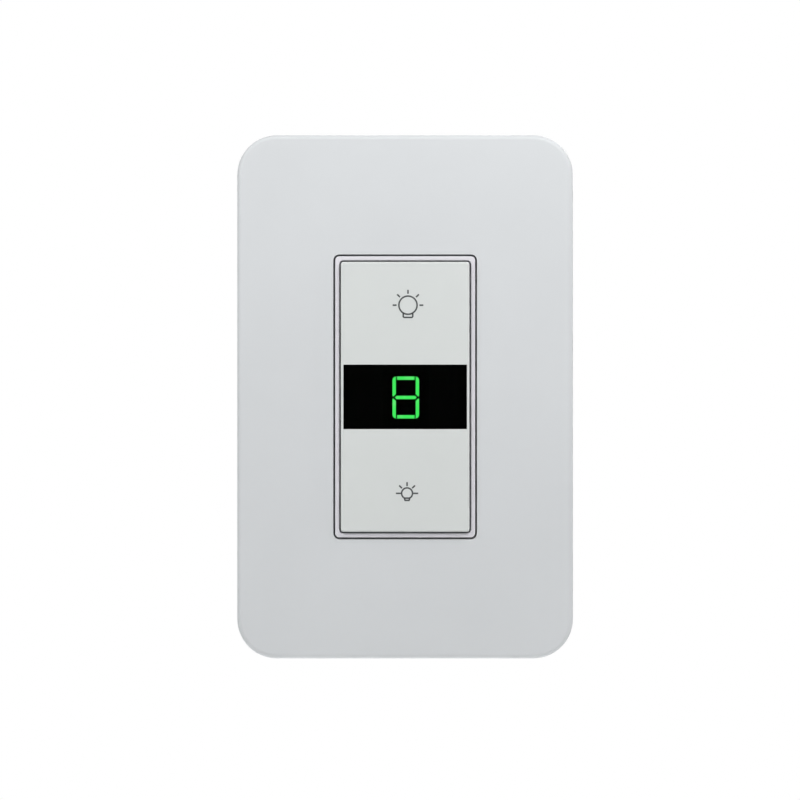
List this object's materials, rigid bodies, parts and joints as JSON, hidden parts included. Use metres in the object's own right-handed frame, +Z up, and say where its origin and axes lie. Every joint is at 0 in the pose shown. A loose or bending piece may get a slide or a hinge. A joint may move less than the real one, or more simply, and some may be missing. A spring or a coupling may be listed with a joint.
{
  "type": "digital dimmer switch",
  "caption": "Wall-mounted digital dimmer switch: screwless wall plate, rocking paddle with a smoked digit display, push switches and a box-mounted dimmer body.",
  "frame": {"origin": "midway between the two box screws, on the wall's surface", "axes": "+Z up the wall, +Y into the wall box, +X to the right of someone who faces the front"},
  "size_m": [0.0794, 0.0383, 0.1238],
  "materials": {
    "plate_white": "satin moulded plastic",
    "sub_white": "matt moulded plastic",
    "screw_steel": "zinc plated",
    "strap_metal": "brushed sheet",
    "ground_green": "green anodised",
    "frame_white": "satin moulded plastic",
    "fish_paper": "pressed insulating board",
    "board_green": "solder mask",
    "black_plastic": "black moulded plastic",
    "lit_green": "glowing light bars",
    "tin": "tin plated",
    "gold_pin": "gold plated",
    "pad_grey": "silicone pad",
    "ferrite": "coated core",
    "copper_wire": "enamelled copper",
    "film_yellow": "moulded box",
    "can_blue": "sleeved can",
    "ceramic": "ceramic and metal caps",
    "varistor_blue": "dipped disc",
    "brass_strip": "folded brass",
    "housing_black": "fine sparked plastic",
    "paddle_white": "satin moulded plastic",
    "smoked_window": "polished smoked acrylic",
    "plunger_white": "moulded plastic",
    "spring_steel": "spring wire"
  },
  "bodies": {
    "root": {"wall_plate": "plate_white", "sub_plate": "sub_white", "plate_screws": "screw_steel", "strap": "strap_metal", "ground_screw": "ground_green", "front_frame": "frame_white", "insulating_sheet": "fish_paper", "control_board": "board_green", "display_case": "black_plastic", "display_segments": "lit_green", "display_pins": "tin", "control_chip": "black_plastic", "upper_switch_case": "black_plastic", "lower_switch_case": "black_plastic", "switch_terminals": "tin", "header_blocks": "black_plastic", "header_pins": "gold_pin", "power_board": "board_green", "triac_body": "black_plastic", "triac_leadframe": "tin", "thermal_pad": "pad_grey", "triac_screw": "screw_steel", "choke_core": "ferrite", "choke_winding": "copper_wire", "film_capacitor": "film_yellow", "electrolytic_capacitor": "can_blue", "fuse": "ceramic", "varistor": "varistor_blue", "terminal_strips": "brass_strip", "terminal_screws": "brass_strip", "terminal_clamps": "screw_steel", "rear_housing": "housing_black", "housing_screws": "screw_steel", "upper_switch_spring": "spring_steel", "lower_switch_spring": "spring_steel"},
    "paddle": {"paddle": "paddle_white", "display_lens": "smoked_window"},
    "upper_plunger": {"upper_switch_plunger": "plunger_white"},
    "lower_plunger": {"lower_switch_plunger": "plunger_white"}
  },
  "joints": [
    {"name": "paddle_rock", "type": "hinge", "parent": "root", "child": "paddle", "pos_m": [0, -0.0044, 0], "axis": [1, 0, 0], "range_deg": [-2, 2], "stiffness_Nm_per_rad": 1.5},
    {"name": "upper_plunger_slide", "type": "slide", "parent": "root", "child": "upper_plunger", "axis": [0, 1, 0], "range_m": [-0.00072, 0.00072], "deforming": ["upper_switch_spring"]},
    {"name": "lower_plunger_slide", "type": "slide", "parent": "root", "child": "lower_plunger", "axis": [0, 1, 0], "range_m": [-0.00072, 0.00072], "deforming": ["lower_switch_spring"]}
  ],
  "couplings": [
    {"joint": "upper_plunger_slide", "follows": "paddle_rock", "m_per_rad": -0.02},
    {"joint": "lower_plunger_slide", "follows": "paddle_rock", "m_per_rad": 0.02}
  ]
}
